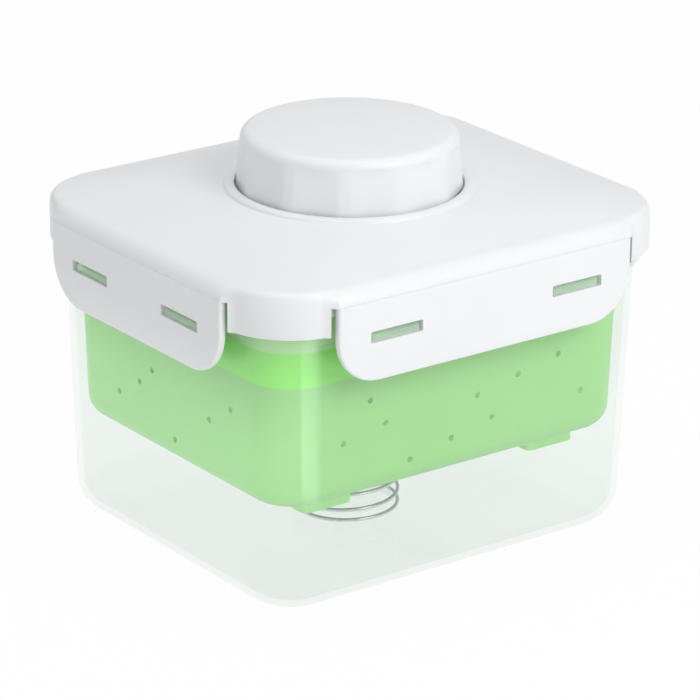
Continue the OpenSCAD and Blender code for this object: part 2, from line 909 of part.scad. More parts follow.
module ring_screws() {
    color(steel)
        at_ring_screws()
            translate([0, 0, ring_top_z + screw_head_h])
                rotate([180, 0, 0])
                    screw(ring_top_z - well_z + well_floor_t - 0.6);
}

module thrust_washer() {
    color(silicone)
        ring(post_foot_r, post_d / 2 - post_wall, well_z, well_z + washer_t);
}

module press_cover() {
    hole_r = post_d / 2 - post_wall;
    color(white_plastic)
        union() {
            difference() {
                slab(press_l / 2, press_w / 2, press_corner_r, press_top_z - cover_t, press_top_z);
                translate([0, 0, press_top_z - cover_t - 1])
                    cylinder(r = well_r, h = cover_t + 2);
            }
            difference() {
                rotate_extrude()
                    polygon([
                        [hole_r, well_z - well_floor_t],
                        [well_r + well_wall, well_z - well_floor_t],
                        [well_r + well_wall, press_top_z - overlap],
                        [well_r, press_top_z - overlap],
                        [well_r, well_z],
                        [hole_r, well_z]
                    ]);
                at_ring_screws()
                    translate([0, 0, well_z - well_floor_t - 1])
                        cylinder(r = screw_r + 0.05, h = well_floor_t + 2);
            }
        }
}

module press_tray() {
    rim = press_top_z - cover_t;
    in_r = press_edge_r - press_wall;
    loft(concat(
        [for (i = [0:fillet_steps])
            let (a = 90 * i / fillet_steps,
                 d = press_edge_r * (1 - sin(a)))
            at_z(rounded_rect(press_l / 2 - d, press_w / 2 - d, press_corner_r - d),
                 press_z + press_edge_r * (1 - cos(a)))],
        [at_z(rounded_rect(press_l / 2, press_w / 2, press_corner_r), rim),
         at_z(rounded_rect(press_l / 2 - press_wall, press_w / 2 - press_wall,
                           press_corner_r - press_wall), rim)],
        [for (i = [0:fillet_steps])
            let (a = 90 - 90 * i / fillet_steps,
                 d = in_r * (1 - sin(a)) + press_wall)
            at_z(rounded_rect(press_l / 2 - d, press_w / 2 - d, press_corner_r - d),
                 press_z + groove_depth + press_wall + in_r * (1 - cos(a)))]
    ));
}

module press_plate() {
    reach_x = press_l / 2 - press_edge_r - groove_w;
    reach_y = press_w / 2 - press_edge_r - groove_w;
    color(white_plastic)
        difference() {
            press_tray();
            for (k = [-groove_count:groove_count])
                if (abs(k * groove_pitch) < reach_x)
                    translate([k * groove_pitch - groove_w / 2, -reach_y, press_z - 1])
                        cube([groove_w, 2 * reach_y, groove_depth + 1]);
            for (k = [-groove_count:groove_count])
                if (abs(k * groove_pitch) < reach_y)
                    translate([-reach_x, k * groove_pitch - groove_w / 2, press_z - 1])
                        cube([2 * reach_x, groove_w, groove_depth + 1]);
        }
}

container();
spring();
basket();
lid();
lid_gasket();
latch_front();
latch_back();
latch_left();
latch_right();
knob_cap();
knob_post();
knob_screws();
swivel_ring();
ring_screws();
thrust_washer();
press_plate();
press_cover();
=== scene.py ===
"""Tofu press: a clear container, a sprung green basket, a white latched lid and a screw knob.

Lengths are in millimetres until a mesh is made, and then in metres, as in the frame.
"""
import math

import bmesh
import bpy
from mathutils import Matrix, Vector


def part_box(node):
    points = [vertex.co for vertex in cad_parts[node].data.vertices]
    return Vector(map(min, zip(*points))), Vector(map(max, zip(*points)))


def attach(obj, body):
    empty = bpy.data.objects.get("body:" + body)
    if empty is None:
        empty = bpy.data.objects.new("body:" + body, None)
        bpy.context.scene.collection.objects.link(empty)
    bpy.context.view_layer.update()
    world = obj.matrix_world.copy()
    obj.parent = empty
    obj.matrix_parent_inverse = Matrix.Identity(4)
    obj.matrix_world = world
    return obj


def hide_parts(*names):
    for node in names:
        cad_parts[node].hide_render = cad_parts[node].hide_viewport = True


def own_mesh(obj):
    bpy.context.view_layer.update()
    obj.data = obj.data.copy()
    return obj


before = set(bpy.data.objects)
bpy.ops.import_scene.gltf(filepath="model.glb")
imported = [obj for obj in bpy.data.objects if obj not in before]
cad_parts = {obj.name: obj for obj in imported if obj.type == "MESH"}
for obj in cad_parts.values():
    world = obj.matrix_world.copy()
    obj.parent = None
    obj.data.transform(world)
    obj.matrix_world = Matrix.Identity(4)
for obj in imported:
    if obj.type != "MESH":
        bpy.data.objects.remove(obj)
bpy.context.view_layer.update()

MM = 0.001
PAST = 2.0                                   # how far a cutting block reaches past the surface it cuts
SINK = 0.3                                   # how far a joined block runs into the wall it stands on

# ---------------------------------------------------------------- sizes from the frame


def box_mm(node):
    """Low and high corners of a frame node's box, in millimetres."""
    low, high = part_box(node)
    return low / MM, high / MM


LID_LOW, LID_HIGH = box_mm("lid")
CONTAINER_HIGH = box_mm("container")[1]
BASKET_HIGH = box_mm("basket")[1]
KNOB_LOW, KNOB_HIGH = box_mm("knob_cap")
FRONT_LOW, FRONT_HIGH = box_mm("latch_front")
RIGHT_HIGH = box_mm("latch_right")[1]
GASKET_HIGH = box_mm("lid_gasket")[1]

# Latch slots
SLOT_L, SLOT_H, SLOT_Z = 19.0, 3.6, 88.0

# Container
CONTAINER_H = CONTAINER_HIGH.z
CONTAINER_L, CONTAINER_W = 140.4, 120.0      # at the floor
CONTAINER_DRAFT = 2.5                        # over the whole height, each side
CONTAINER_CORNER_R = 18.0
CONTAINER_FLOOR_R = 11.0
CONTAINER_WALL = 2.0
CONTAINER_FLOOR = 2.5                        # top of the floor
CONTAINER_STEPS_Z = (35.0, 62.0)             # rings up the straight walls
CONTAINER_FOOT = (8.0, 3.0)                  # half length and half width
CONTAINER_FOOT_H = 0.5
CONTAINER_FOOT_AT = (44.2, 44.0)
BAND_Z = 88.3                                # underside of the thick band around the rim
BAND_T = 2.2
BAND_CORNER_R = 22.0
BAND_SOFT = 0.5                              # rounding of its lower edge
BAND_TOP_SOFT = 0.6
BAND_FILLET = 0.4                            # where the wall runs out into its underside
RIM_SOFT = 0.4                               # rounding of the rim's inner edge
LUG_L, LUG_H = SLOT_L - 2.0, SLOT_H - 0.6
LUG_SLOPE = 1.1                              # height of its sloped upper side
LUG_RUN = 1.8                                # length of that side
LUG_ROOT = 1.0                               # how far it runs into the band
LUG_GAP = 0.8                                # between a lug and the latch's outer face
LUG_OUT = 0.2                                # faces further out than this from the band are a lug's

# Spring seats, on the container's floor and under the basket's
SEAT_R, SEAT_H = 15.1, 3.0
SEAT_ROOT = 0.5                              # how far the lower one runs into the floor
COLLAR_H, COLLAR_T = 2.5, 1.6

# Basket
BASKET_Z = 33.0
BASKET_GAP = 2.3
BASKET_CORNER_R = 15.0
BASKET_FLOOR_R = 6.5
BASKET_WALL = 1.8
BASKET_FLOOR = 2.0
BASKET_RIM_T = 1.3
BASKET_RIM_H = 1.6
FOOT_L, FOOT_W, FOOT_H = 18.0, 8.0, 4.2
FOOT_CORNER_R = 2.0
FOOT_X, FOOT_Y = 42.9, 44.7
BASKET_EDGE_R = 0.3
BASKET_FILLET = 0.2                          # where the wall runs out into the rim's underside
BASKET_STEPS_Z = (55.0, 78.0)                # rings up the straight walls
FOOT_ROOT = 0.4                              # how far a foot runs into the floor
HOLE_PITCH = 13.0
FLOOR_HOLE_R, WALL_HOLE_R = 2.0, 1.0
FLOOR_HOLE_CLEAR = 2.0                       # from the spring to the nearest floor hole
FOOT_HOLE_CLEAR = 0.5
HOLE_TOOL_L = 8.0
WALL_HOLES_H = 26.0                          # height of the zone that the wall holes scatter in
ALONG_STEP = 0.618                           # step of their places along the wall
# On a wall: how many holes, over how many half lengths they spread, and the step of their heights
LONG_HOLES, LONG_SPREAD, LONG_RISE = 10, 1.6, 0.291
SHORT_HOLES, SHORT_SPREAD, SHORT_RISE = 6, 1.4, 0.755
PRESS_EDGE_Z = 73.0                          # the press plate behind the wall ends here; the basket's paler green below it is painted light from that lit white plate showing through
RIM_EDGE_Z = 84.2                            # and from here up it is paler

# Spring
SPRING_R = 16.1
WIRE_R = 0.6
SPRING_PITCH = 5.2
SPRING_END_RISE = 2.0
SPRING_START = 74.0
SPRING_STEPS = 72
WIRE_SIDES = 12

# Lid
LID_HX, LID_HY = RIGHT_HIGH.x, -FRONT_LOW.y
CORNER_STEP = 2.6
LID_CORNER_R = 24.0
LID_CORNER_ARC = (12.0, 79.0)                # degrees of it that are drawn, between the latches
LID_EDGE_Z = 106.0
LID_EDGE_R = 5.6
LID_TOP_Z = 109.8
LID_T = 2.0
SKIRT_SOFT = 0.5                             # rounding of the skirt's lower edge
SKIRT_Z = LID_LOW.z
CHANNEL_Z = GASKET_HIGH.z
HINGE_Z = 101.1
HINGE_GAP = 0.02
CROWN_UNDER_D = 12.0                         # underside of the crown, in from the outline
CHANNEL_D = 11.4                             # inner side of the gasket's channel
CROWN_STEPS = 8
LIP_R = 39.0
RECESS_R = 35.5
RECESS_Z = 108.5
RECESS_T = 2.4
LIP_Z = LID_HIGH.z
HUB_R = 24.0
HUB_WALL = 3.0
HUB_Z = 99.52
RIB_IN = (0.3, 1.7)                          # faces of the rib, inwards from the rim's inside
RIB_OUT = (0.4, 1.6)                         # and of the outer rib, outwards from the band
RIB_OVER_BASKET = 0.3
RIB_OUT_H = 2.4                              # how far the outer rib hangs below the rim
SEAL_GAP = 0.02
SEAL_OUT = 0.1                               # how far the gasket stands out past the band
SEAL_SOFT = 0.4

# Latches
LATCH_T = 2.2
LATCH_Z = FRONT_LOW.z
LATCH_CORNER_R = 15.0
LATCH_EDGE_R = 0.9
LATCH_EDGE_STEPS = 5
LATCH_BACK_SOFT = 0.35                       # easing of the edge at its back
LATCH_GAP = 1.7                              # between a latch and the lid's corner
LATCH_ROOM = 0.6                             # depth left free behind a latch
LATCH_ROOM_R = 0.4
SLOT_CORNER_R = 0.5
FRONT_HALF, RIGHT_HALF = FRONT_HIGH.x, RIGHT_HIGH.y
SLOT_FRONT_X, SLOT_RIGHT_Y = 34.0, 24.0

# Knob
KNOB_R = KNOB_HIGH.x
KNOB_Z = KNOB_LOW.z
KNOB_TOP_Z = KNOB_HIGH.z
KNOB_TAPER = 1.2
KNOB_EDGE_R = 3.2
KNOB_DOME = 0.9
KNOB_WALL = 2.6
SCALLOPS = 12
SCALLOP_DEPTH = 0.75
SCALLOP_TURN = 6.0                           # degrees from +X to the first
SCALLOP_SHARE = 0.8                          # of the pitch that a scallop takes up
SCALLOP_FADE = 2.5                           # height over which it runs out at the top
SCALLOP_OVER = 0.6                           # how far it reaches into the rounded edge
KNOB_SIDES = 240
KNOB_BOSSES = 3
KNOB_BOSS_R, KNOB_BOSS_AT, KNOB_BOSS_Z = 3.0, 26.6, 113.4

# ---------------------------------------------------------------- mesh helpers

CORNER_STEPS = 16
EDGE_STEPS = 6
ROUND_STEPS = 8


def rounded_rect(hx, hy, r, steps=CORNER_STEPS):
    """Plan outline with half sizes hx and hy, anticlockwise."""
    points = []
    for quarter, (sx, sy) in enumerate(((1, 1), (-1, 1), (-1, -1), (1, -1))):
        for i in range(steps + 1):
            a = math.radians(90 * (quarter + i / steps))
            points.append((sx * (hx - r) + r * math.cos(a), sy * (hy - r) + r * math.sin(a)))
    return points


def at_z(outline, z):
    """A plan outline as a ring of points at a height."""
    return [Vector((x, y, z)) for x, y in outline]


def circle(r, z, count):
    return [Vector((r * math.cos(2 * math.pi * i / count), r * math.sin(2 * math.pi * i / count), z))
            for i in range(count)]


def lofted(rings, joined=False):
    """A bmesh skin through rings of as many points, capped or joined end to end."""
    bm = bmesh.new()
    rows = [[bm.verts.new(p * MM) for p in ring] for ring in rings]
    count = len(rows[0])
    pairs = list(zip(rows, rows[1:]))
    if joined:
        pairs.append((rows[-1], rows[0]))
    for low, high in pairs:
        for i in range(count):
            j = (i + 1) % count
            bm.faces.new((low[i], low[j], high[j], high[i]))
    if not joined:
        bm.faces.new(list(reversed(rows[0])))
        bm.faces.new(rows[-1])
    bmesh.ops.recalc_face_normals(bm, faces=bm.faces)
    return bm


def revolved(profile, count=96):
    """A closed skin from an (r, z) profile that stays off the axis."""
    return lofted([circle(r, z, count) for r, z in profile], joined=True)


def arc(cx, cz, r, start, end, steps=ROUND_STEPS):
    """Points of a profile along an arc, from one angle to another in degrees."""
    return [(cx + r * math.cos(math.radians(start + (end - start) * i / steps)),
             cz + r * math.sin(math.radians(start + (end - start) * i / steps)))
            for i in range(steps + 1)]


def as_object(bm, name):
    mesh = bpy.data.meshes.new(name)
    bm.to_mesh(mesh)
    bm.free()
    obj = bpy.data.objects.new(name, mesh)
    bpy.context.scene.collection.objects.link(obj)
    return obj


def apply_modifiers(obj):
    """Puts an object's modified mesh in place of its mesh."""
    graph = bpy.context.evaluated_depsgraph_get()
    mesh = bpy.data.meshes.new_from_object(obj.evaluated_get(graph))
    old = obj.data
    obj.modifiers.clear()
    obj.data = mesh
    bpy.data.meshes.remove(old)
    return obj


def combined(obj, tools, operation):
    """Cuts or joins one object with closed tools, and removes the tools."""
    for tool in tools:
        mod = obj.modifiers.new("combine", "BOOLEAN")
        mod.operation = operation
        mod.solver = "EXACT"
        mod.object = tool
    apply_modifiers(obj)
    for tool in tools:
        mesh = tool.data
        bpy.data.objects.remove(tool)
        bpy.data.meshes.remove(mesh)
    return obj


def softened(obj, width, segments=2, angle=40):
    """Rounds the edges that are sharper than the angle."""
    mod = obj.modifiers.new("soft", "BEVEL")
    mod.width = width * MM
    mod.segments = segments
    mod.limit_method = "ANGLE"
    mod.angle_limit = math.radians(angle)
    mod.use_clamp_overlap = True
    return apply_modifiers(obj)


def shaded(obj, angle=32):
    """Smooth shading, with edges sharper than the angle left crisp."""
    bm = bmesh.new()
    bm.from_mesh(obj.data)
    bmesh.ops.remove_doubles(bm, verts=bm.verts, dist=1e-6)
    for edge in bm.edges:
        sharp = len(edge.link_faces) == 2 and edge.calc_face_angle(0) > math.radians(angle)
        edge.smooth = not sharp
    for face in bm.faces:
        face.smooth = True
    bm.to_mesh(obj.data)
    bm.free()
    return obj


def slab_tool(name, half, centre, radius, turn=0.0, axis="Z", steps=6):
    """A closed rounded block to cut or join with; half and centre are in mm."""
    bm = lofted([at_z(rounded_rect(half[0], half[1], radius, steps), -half[2]),
                 at_z(rounded_rect(half[0], half[1], radius, steps), half[2])])
    place = Matrix.Translation(Vector(centre) * MM) @ Matrix.Rotation(math.radians(turn), 4, axis)
    bm.transform(place)
    return as_object(bm, name)


def rod_tool(name, r, length, centre, axis="Z", count=24):
    bm = lofted([circle(r, -length / 2, count), circle(r, length / 2, count)])
    turn = {"Z": Matrix.Identity(4), "X": Matrix.Rotation(math.pi / 2, 4, "Y"),
            "Y": Matrix.Rotation(math.pi / 2, 4, "X")}[axis]
    bm.transform(Matrix.Translation(Vector(centre) * MM) @ turn)
    return as_object(bm, name)


def finished(obj, body, slot, material, *nodes):
    """Gives a piece its material, its body and the nodes that it stands in for; the slot argument is not
    used.
    """
    obj.data.materials.clear()
    obj.data.materials.append(material)
    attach(obj, body)
    if nodes:
        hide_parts(*nodes)
    return obj


# ---------------------------------------------------------------- materials


class Graph:
    """A small helper that adds and joins shader nodes, in a new material or world."""

    def __init__(self, owner, output="ShaderNodeOutputMaterial"):
        owner.use_nodes = True
        self.owner = owner
        self.tree = owner.node_tree
        self.tree.nodes.clear()
        self.output = self.add(output)

    def put(self, value, socket):
        """Joins a socket to another, or sets it to a plain value."""
        if isinstance(value, bpy.types.NodeSocket):
            self.tree.links.new(value, socket)
        else:
            socket.default_value = value

    def add(self, kind, settings=None, **sockets):
        """A new node, with its settings and the values or sources of its inputs."""
        node = self.tree.nodes.new(kind)
        for key, value in (settings or {}).items():
            setattr(node, key, value)
        for key, value in sockets.items():
            self.put(value, node.inputs[key.replace("_", " ")])
        return node

    def place(self):
        """Object coordinates, so that a pattern moves with its piece."""
        return self.add("ShaderNodeTexCoord").outputs["Object"]

    def noise(self, scale, detail=3.0, roughness=0.5):
        node = self.add("ShaderNodeTexNoise", Vector=self.place(), Scale=scale, Detail=detail,
                        Roughness=roughness)
        return node.outputs["Fac"]

    def ramp(self, source, low, high, colours):
        """A source as a colour, from the first to the second between low and high."""
        node = self.add("ShaderNodeValToRGB", Fac=source)
        for element, at, colour in zip(node.color_ramp.elements, (low, high), colours):
            element.position = at
            element.color = (*colour, 1)
        return node.outputs["Color"]

    def span(self, source, low, high):
        """A source from 0 to 1, spread over a range of values."""
        return self.add("ShaderNodeMapRange", Value=source, To_Min=low, To_Max=high).outputs["Result"]

    def bump(self, height, distance, strength=1.0):
        node = self.add("ShaderNodeBump", Height=height, Strength=strength, Distance=distance)
        return node.outputs["Normal"]

    def calc(self, operation, first, second):
        node = self.add("ShaderNodeMath", {"operation": operation})
        self.put(first, node.inputs[0])
        self.put(second, node.inputs[1])
        return node.outputs[0]

    def mix(self, share, first, second):
        """Two shaders, with this share of the second."""
        node = self.add("ShaderNodeMixShader", Fac=share)
        self.put(first, node.inputs[1])
        self.put(second, node.inputs[2])
        return node.outputs["Shader"]

    def surface(self, shader):
        self.put(shader, self.output.inputs["Surface"])
        return self.owner


def material_graph(name):
    return Graph(bpy.data.materials.new(name))


GLOSS_FACE_ON, GLOSS_EDGE_ON = 0.035, 0.45   # share of a clear surface that mirrors


def moulded(name, pale, deep, rough=(0.32, 0.44), grain=0.00003, specular=0.45):
    """Moulded plastic: faint cloudy colour, flow-marked gloss and a fine texture."""
    g = material_graph(name)
    shader = g.add("ShaderNodeBsdfPrincipled", Specular_IOR_Level=specular,
                   Base_Color=g.ramp(g.noise(14.0, 4.0, 0.55), 0.3, 0.7, (deep, pale)),
                   Roughness=g.span(g.noise(45.0, 3.0), *rough),
                   Normal=g.bump(g.noise(900.0, 2.0), grain, 0.5))
    return g.surface(shader.outputs["BSDF"])


def see_through(name, pale, deep, solid, tint, rough, glow, bands=()):
    """Thin translucent plastic: light scatters in it, and part of it shows what is behind.

    Solid is the range of the share that hides what is behind, and glow the share of that
    which lets light through. Both hold for one surface, and a wall has two. Bands are heights
    in millimetres above which the tone changes, each with the half width of the change.
    """
    g = material_graph(name)
    cloud = g.noise(11.0, 4.0, 0.55)
    colour = g.ramp(cloud, 0.3, 0.7, (deep, pale))
    for height, soft, tone in bands:
        z = g.add("ShaderNodeSeparateXYZ", Vector=g.place()).outputs["Z"]
        step = g.add("ShaderNodeMapRange", Value=z,
                     From_Min=(height - soft) * MM, From_Max=(height + soft) * MM)
        mixed = g.add("ShaderNodeMixRGB", Fac=step.outputs["Result"], Color1=colour, Color2=(*tone, 1))
        colour = mixed.outputs["Color"]
    skin = g.add("ShaderNodeBsdfDiffuse", Color=colour)
    light = g.add("ShaderNodeBsdfTranslucent", Color=colour)
    body = g.mix(glow, skin.outputs["BSDF"], light.outputs["BSDF"])
    clear = g.add("ShaderNodeBsdfTransparent", Color=(*tint, 1))
    wall = g.mix(g.span(cloud, *solid), clear.outputs["BSDF"], body)
    gloss = g.add("ShaderNodeBsdfPrincipled", Metallic=1.0, Base_Color=(0.96, 0.98, 0.97, 1),
                  Roughness=g.span(g.noise(40.0, 3.0), *rough),
                  Normal=g.bump(g.noise(30.0, 2.0), 0.0004, 0.3))
    facing = g.add("ShaderNodeLayerWeight", Blend=0.5).outputs["Facing"]
    mirror = g.span(g.calc("POWER", facing, 4.0), GLOSS_FACE_ON, GLOSS_EDGE_ON)
    return g.surface(g.mix(mirror, wall, gloss.outputs["BSDF"]))


def bright_steel(name):
    """Drawn wire and screws: grey metal with a fine, uneven polish."""
    g = material_graph(name)
    greys = ((0.50, 0.51, 0.53), (0.68, 0.69, 0.71))
    shader = g.add("ShaderNodeBsdfPrincipled", Metallic=1.0,
                   Base_Color=g.ramp(g.noise(220.0, 3.0), 0.3, 0.7, greys),
                   Roughness=g.span(g.noise(400.0, 2.0), 0.16, 0.32),
                   Normal=g.bump(g.noise(1500.0, 2.0), 0.00002, 0.5))
    return g.surface(shader.outputs["BSDF"])


WHITE = moulded("white_plastic", (0.86, 0.87, 0.885), (0.83, 0.84, 0.86))
WHITE_INSIDE = moulded("white_plastic_inside", (0.88, 0.89, 0.89), (0.85, 0.86, 0.86), rough=(0.4, 0.5))
SILICONE = moulded("silicone", (0.80, 0.82, 0.82), (0.76, 0.78, 0.78), rough=(0.5, 0.62), specular=0.3)
CLEAR = see_through("clear_plastic", (0.90, 0.97, 0.95), (0.86, 0.94, 0.91), (0.05, 0.075),
                    (0.988, 0.997, 0.993), rough=(0.10, 0.16), glow=0.45)
CLEAR_THICK = see_through("clear_plastic_thick", (0.84, 0.98, 0.85), (0.80, 0.95, 0.81), (0.50, 0.58),
                          (0.95, 0.99, 0.96), rough=(0.12, 0.18), glow=0.3)
# Painted light in the basket's green: the pale base colour below PRESS_EDGE_Z stands for the lit white press
# plate showing through the wall, and the deeper green above it is the wall with nothing pale behind
GREEN_BANDS = ((PRESS_EDGE_Z, 0.35, (0.33, 0.97, 0.15)), (RIM_EDGE_Z, 0.5, (0.60, 0.98, 0.46)))
GREEN = see_through("green_plastic", (0.375, 0.75, 0.27), (0.355, 0.73, 0.25), (0.975, 0.99),
                    (0.80, 0.975, 0.72), rough=(0.20, 0.28), glow=0.05, bands=GREEN_BANDS)
STEEL = bright_steel("spring_steel")

# ---------------------------------------------------------------- container


def container_half(z):
    """Half sizes of the container's outside at a height."""
    lean = CONTAINER_DRAFT * z / CONTAINER_H
    return CONTAINER_L / 2 + lean, CONTAINER_W / 2 + lean


def tub_ring(half, z, inset, corner_r):
    """A ring of a drafted tub, set in from its outside."""
    hx, hy = half(z)
    return at_z(rounded_rect(hx - inset, hy - inset, corner_r - inset), z)


def container_rings():
    """Up the outside, over the rim and down the inside, from floor to floor."""
    rings = []
    for i in range(ROUND_STEPS + 1):
        a = math.radians(90 * i / ROUND_STEPS)
        z = CONTAINER_FOOT_H + CONTAINER_FLOOR_R * (1 - math.cos(a))
        rings.append(tub_ring(container_half, z, CONTAINER_FLOOR_R * (1 - math.sin(a)), CONTAINER_CORNER_R))
    for z in (*CONTAINER_STEPS_Z, BAND_Z - BAND_FILLET):
        rings.append(tub_ring(container_half, z, 0, CONTAINER_CORNER_R))
    top_x, top_y = container_half(CONTAINER_H)
    bx, by = top_x + BAND_T, top_y + BAND_T
    for inset, z in ((BAND_SOFT, BAND_Z), (0.12, BAND_Z + 0.12), (0, BAND_Z + BAND_SOFT),
                     (0, CONTAINER_H - BAND_TOP_SOFT), (0.18, CONTAINER_H - 0.18),
                     (BAND_TOP_SOFT, CONTAINER_H)):
        rings.append(at_z(rounded_rect(bx - inset, by - inset, BAND_CORNER_R - inset), z))
    rings.append(tub_ring(container_half, CONTAINER_H, CONTAINER_WALL + RIM_SOFT, CONTAINER_CORNER_R))
    rings.append(tub_ring(container_half, CONTAINER_H - RIM_SOFT, CONTAINER_WALL, CONTAINER_CORNER_R))
    for z in reversed(CONTAINER_STEPS_Z):
        rings.append(tub_ring(container_half, z, CONTAINER_WALL, CONTAINER_CORNER_R))
    inner_r = CONTAINER_FLOOR_R - CONTAINER_WALL
    for i in range(ROUND_STEPS + 1):
        a = math.radians(90 - 90 * i / ROUND_STEPS)
        z = CONTAINER_FLOOR + inner_r * (1 - math.cos(a))
        inset = CONTAINER_WALL + inner_r * (1 - math.sin(a))
        rings.append(tub_ring(container_half, z, inset, CONTAINER_CORNER_R))
    return rings


def lug_tool(x, y, turn, reach):
    """A ledge on the rim band, flat below and sloped above, that a latch slot hooks over."""
    profile = [(-LUG_ROOT, 0), (reach, 0), (reach, LUG_H - LUG_SLOPE), (reach - LUG_RUN, LUG_H),
               (-LUG_ROOT, LUG_H)]
    bm = lofted([[Vector((px, side * LUG_L / 2, pz)) for px, pz in profile] for side in (-1, 1)])
    place = Matrix.Translation(Vector((x, y, BAND_Z)) * MM) @ Matrix.Rotation(math.radians(turn), 4, "Z")
    bm.transform(place)
    return as_object(bm, "lug")


def soft_foot_tool(x, y):
    """A low foot whose sides run out gently into the floor."""
    hx, hy = CONTAINER_FOOT
    bm = lofted([at_z(rounded_rect(hx + out, hy + out, 1.0 + out, 4), z)
                 for out, z in ((-0.4, 0.0), (0.2, 0.08), (1.6, CONTAINER_FOOT_H - 0.08),
                                (2.6, CONTAINER_FOOT_H + 0.01), (2.6, CONTAINER_FOOT_H + 0.4))])
    bm.transform(Matrix.Translation(Vector((x, y, 0)) * MM))
    return as_object(bm, "foot")


def make_container():
    shell = as_object(lofted(container_rings()), "container_shell")
    top_x, top_y = container_half(CONTAINER_H)
    bx, by = top_x + BAND_T, top_y + BAND_T
    reach = LID_HX - bx - LUG_GAP
    lugs = []
    for side in (-1, 1):
        for s in (-1, 1):
            lugs.append(lug_tool(side * bx, s * SLOT_RIGHT_Y, 0 if side > 0 else 180, reach))
            lugs.append(lug_tool(s * SLOT_FRONT_X, side * by, side * 90, reach))
    boss = rod_tool("boss", SEAT_R, SEAT_H + SEAT_ROOT,
                    (0, 0, CONTAINER_FLOOR + (SEAT_H - SEAT_ROOT) / 2), count=64)
    foot_x, foot_y = CONTAINER_FOOT_AT
    feet = [soft_foot_tool(sx * foot_x, sy * foot_y) for sx in (-1, 1) for sy in (-1, 1)]
    combined(shell, lugs + feet + [boss], "UNION")
    shaded(shell, 40)
    shell.visible_shadow = False
    finished(shell, "container", "clear_plastic", CLEAR, "container")
    shell.data.materials.append(CLEAR_THICK)     # on the lugs, which fill the latches' slots
    for face in shell.data.polygons:
        if abs(face.center.x) > (bx + LUG_OUT) * MM or abs(face.center.y) > (by + LUG_OUT) * MM:
            face.material_index = 1
    return shell


# ---------------------------------------------------------------- basket


def basket_half(z):
    """Half sizes of the basket's outside at a height."""
    hx, hy = container_half(z)
    return hx - CONTAINER_WALL - BASKET_GAP, hy - CONTAINER_WALL - BASKET_GAP


def basket_rings():
    """Up the outside, over the flanged rim and down the inside, from floor to floor."""
    rim_z = BASKET_HIGH.z
    flange_z = rim_z - BASKET_RIM_H
    floor_z = BASKET_Z + BASKET_FLOOR
    rings = []
    for i in range(ROUND_STEPS + 1):
        a = math.radians(90 * i / ROUND_STEPS)
        z = BASKET_Z + BASKET_FLOOR_R * (1 - math.cos(a))
        rings.append(tub_ring(basket_half, z, BASKET_FLOOR_R * (1 - math.sin(a)), BASKET_CORNER_R))
    for z in (*BASKET_STEPS_Z, flange_z - BASKET_FILLET):
        rings.append(tub_ring(basket_half, z, 0, BASKET_CORNER_R))
    hx, hy = basket_half(flange_z)
    for out, z in ((BASKET_RIM_T - BASKET_EDGE_R, flange_z + BASKET_EDGE_R),
                   (BASKET_RIM_T, flange_z + 2 * BASKET_EDGE_R),
                   (BASKET_RIM_T, rim_z - BASKET_EDGE_R),
                   (BASKET_RIM_T - BASKET_EDGE_R, rim_z)):
        rings.append(at_z(rounded_rect(hx + out, hy + out, BASKET_CORNER_R + out), z))
    rings.append(tub_ring(basket_half, rim_z, BASKET_WALL + BASKET_EDGE_R, BASKET_CORNER_R))
    rings.append(tub_ring(basket_half, rim_z - BASKET_EDGE_R, BASKET_WALL, BASKET_CORNER_R))
    for z in reversed(BASKET_STEPS_Z):
        rings.append(tub_ring(basket_half, z, BASKET_WALL, BASKET_CORNER_R))
    inner_r = BASKET_FLOOR_R - BASKET_WALL
    for i in range(ROUND_STEPS + 1):
        a = math.radians(90 - 90 * i / ROUND_STEPS)
        z = floor_z + inner_r * (1 - math.cos(a))
        rings.append(tub_ring(basket_half, z, BASKET_WALL + inner_r * (1 - math.sin(a)), BASKET_CORNER_R))
    return rings


def scatter(i, step):
    """The i-th of an evenly spread row of shares from 0 to 1."""
    return i * step - math.floor(i * step)


def basket_hole_tools():
    """A grid of floor holes clear of feet and spring, and small scattered wall holes."""
    tools = []
    hx, hy = basket_half(BASKET_Z)
    nx = int((hx - BASKET_FLOOR_R - 2 * FLOOR_HOLE_R) // HOLE_PITCH)
    ny = int((hy - BASKET_FLOOR_R - 2 * FLOOR_HOLE_R) // HOLE_PITCH)
    for i in range(-nx, nx + 1):
        for j in range(-ny, ny + 1):
            x, y = i * HOLE_PITCH, j * HOLE_PITCH
            on_foot = (abs(abs(x) - FOOT_X) < FOOT_L / 2 + FLOOR_HOLE_R + FOOT_HOLE_CLEAR
                       and abs(abs(y) - FOOT_Y) < FOOT_W / 2 + FLOOR_HOLE_R + FOOT_HOLE_CLEAR)
            if math.hypot(x, y) > SPRING_R + FLOOR_HOLE_R + FLOOR_HOLE_CLEAR and not on_foot:
                at = (x, y, BASKET_Z + BASKET_FLOOR / 2)
                tools.append(rod_tool("hole", FLOOR_HOLE_R, HOLE_TOOL_L, at))
    rows_z = BASKET_Z + BASKET_FLOOR_R + 1
    for side in (-1, 1):
        for i in range(1, LONG_HOLES + 1):
            at = ((scatter(i, ALONG_STEP) - 0.5) * LONG_SPREAD * hx, side * (hy + 1),
                  rows_z + WALL_HOLES_H * scatter(i, LONG_RISE))
            tools.append(rod_tool("hole", WALL_HOLE_R, HOLE_TOOL_L, at, "Y", 16))
        for i in range(1, SHORT_HOLES + 1):
            at = (side * (hx + 1), (scatter(i, ALONG_STEP) - 0.5) * SHORT_SPREAD * hy,
                  rows_z + WALL_HOLES_H * scatter(i, SHORT_RISE))
            tools.append(rod_tool("hole", WALL_HOLE_R, HOLE_TOOL_L, at, "X", 16))
    return tools


